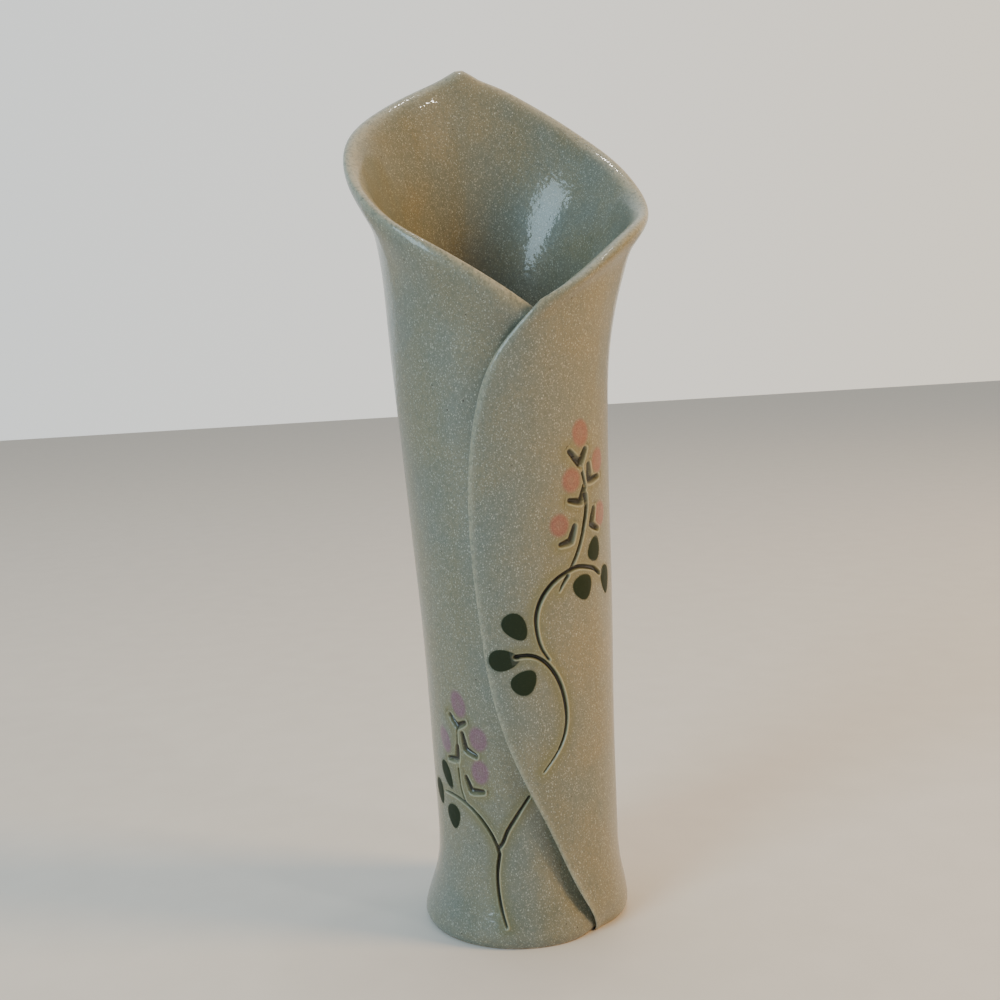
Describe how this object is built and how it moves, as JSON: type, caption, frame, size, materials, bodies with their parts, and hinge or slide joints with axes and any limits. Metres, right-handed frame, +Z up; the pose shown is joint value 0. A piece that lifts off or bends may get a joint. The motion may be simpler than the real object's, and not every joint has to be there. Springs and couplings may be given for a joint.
{
  "type": "bud vase",
  "caption": "Tall slab-built ceramic bud vase: one clay slab rolled and lapped over at the front, with a slanted mouth and inlaid flower sprays.",
  "frame": {"origin": "centre of the foot, on the plane it stands on", "axes": "+Z up along the tube; -Y points to the front, where the two ends of the slab cross at the rim"},
  "size_m": [0.0906, 0.0777, 0.2608],
  "materials": {
    "speckled_glaze": "satin, speckled",
    "bare_stoneware": "matte",
    "pink_glaze": "satin",
    "leaf_glaze": "satin",
    "stem_glaze": "gloss"
  },
  "bodies": {
    "root": {"floor_disc": "bare_stoneware", "floor_seam_coil": "speckled_glaze", "lower_calyx_1": "stem_glaze", "lower_calyx_2": "stem_glaze", "lower_calyx_3": "stem_glaze", "lower_calyx_4": "stem_glaze", "lower_leaf_1": "leaf_glaze", "lower_leaf_2": "leaf_glaze", "lower_leaf_3": "leaf_glaze", "lower_petal_1": "pink_glaze", "lower_petal_2": "pink_glaze", "lower_petal_3": "pink_glaze", "lower_petal_4": "pink_glaze", "lower_stem_flower": "stem_glaze", "lower_stem_left": "stem_glaze", "lower_stem_right": "stem_glaze", "lower_stem_tip": "stem_glaze", "lower_stem_trunk": "stem_glaze", "upper_calyx_1": "stem_glaze", "upper_calyx_2": "stem_glaze", "upper_calyx_3": "stem_glaze", "upper_calyx_4": "stem_glaze", "upper_calyx_5": "stem_glaze", "upper_leaf_1": "leaf_glaze", "upper_leaf_2": "leaf_glaze", "upper_leaf_3": "leaf_glaze", "upper_leaf_4": "leaf_glaze", "upper_leaf_5": "leaf_glaze", "upper_leaf_6": "leaf_glaze", "upper_petal_1": "pink_glaze", "upper_petal_2": "pink_glaze", "upper_petal_3": "pink_glaze", "upper_petal_4": "pink_glaze", "upper_petal_5": "pink_glaze", "upper_stem_flower": "stem_glaze", "upper_stem_main": "stem_glaze", "upper_stem_spur": "stem_glaze", "upper_stem_tail": "stem_glaze", "upper_stem_tip": "stem_glaze", "wall_slab": "speckled_glaze"}
  },
  "joints": []
}
